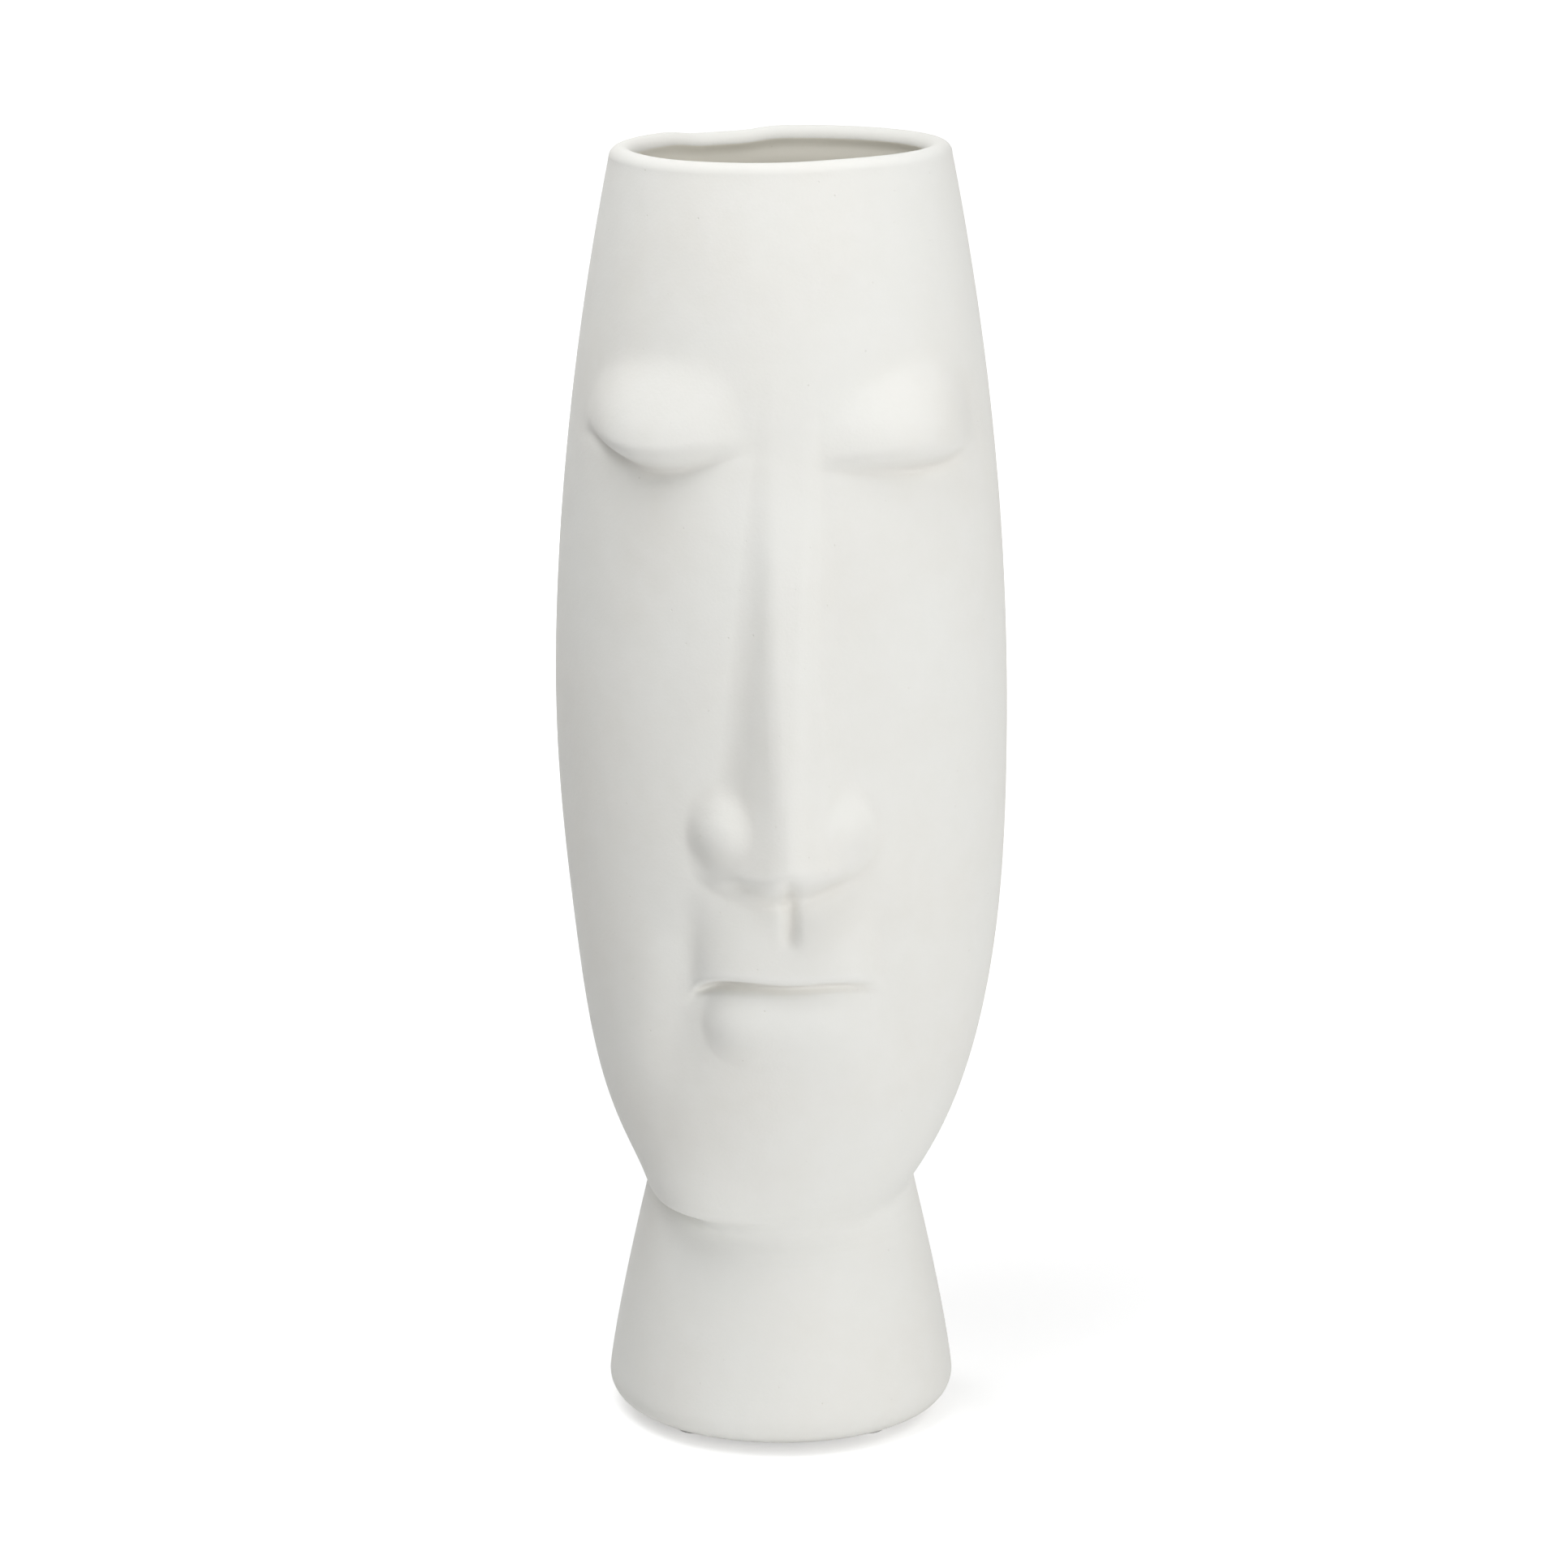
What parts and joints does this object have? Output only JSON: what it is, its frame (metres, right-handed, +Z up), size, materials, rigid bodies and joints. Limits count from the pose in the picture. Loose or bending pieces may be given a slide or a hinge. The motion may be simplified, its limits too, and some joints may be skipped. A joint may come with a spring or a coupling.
{
  "type": "face vase",
  "caption": "Tall matte white ceramic vase shaped as a stylised head with closed eyes and a long nose, open at the top for flowers, on a flared neck that is its foot.",
  "frame": {"origin": "on the table under the middle of the vase, on the axis of the foot", "axes": "+Z up through the mouth, the face looks along -Y, and +X is on the right of someone who looks at the face"},
  "size_m": [0.1047, 0.117, 0.3],
  "materials": {
    "matte_ceramic": "matte, cast and sponged smooth",
    "slip": "matte, smoothed with a wet brush",
    "felt": "dense pressed felt"
  },
  "bodies": {
    "root": {"head_vessel": "matte_ceramic", "neck_foot": "matte_ceramic", "slip_seam": "slip", "felt_pad_front_left": "felt", "felt_pad_front_right": "felt", "felt_pad_back_left": "felt", "felt_pad_back_right": "felt"}
  },
  "joints": []
}
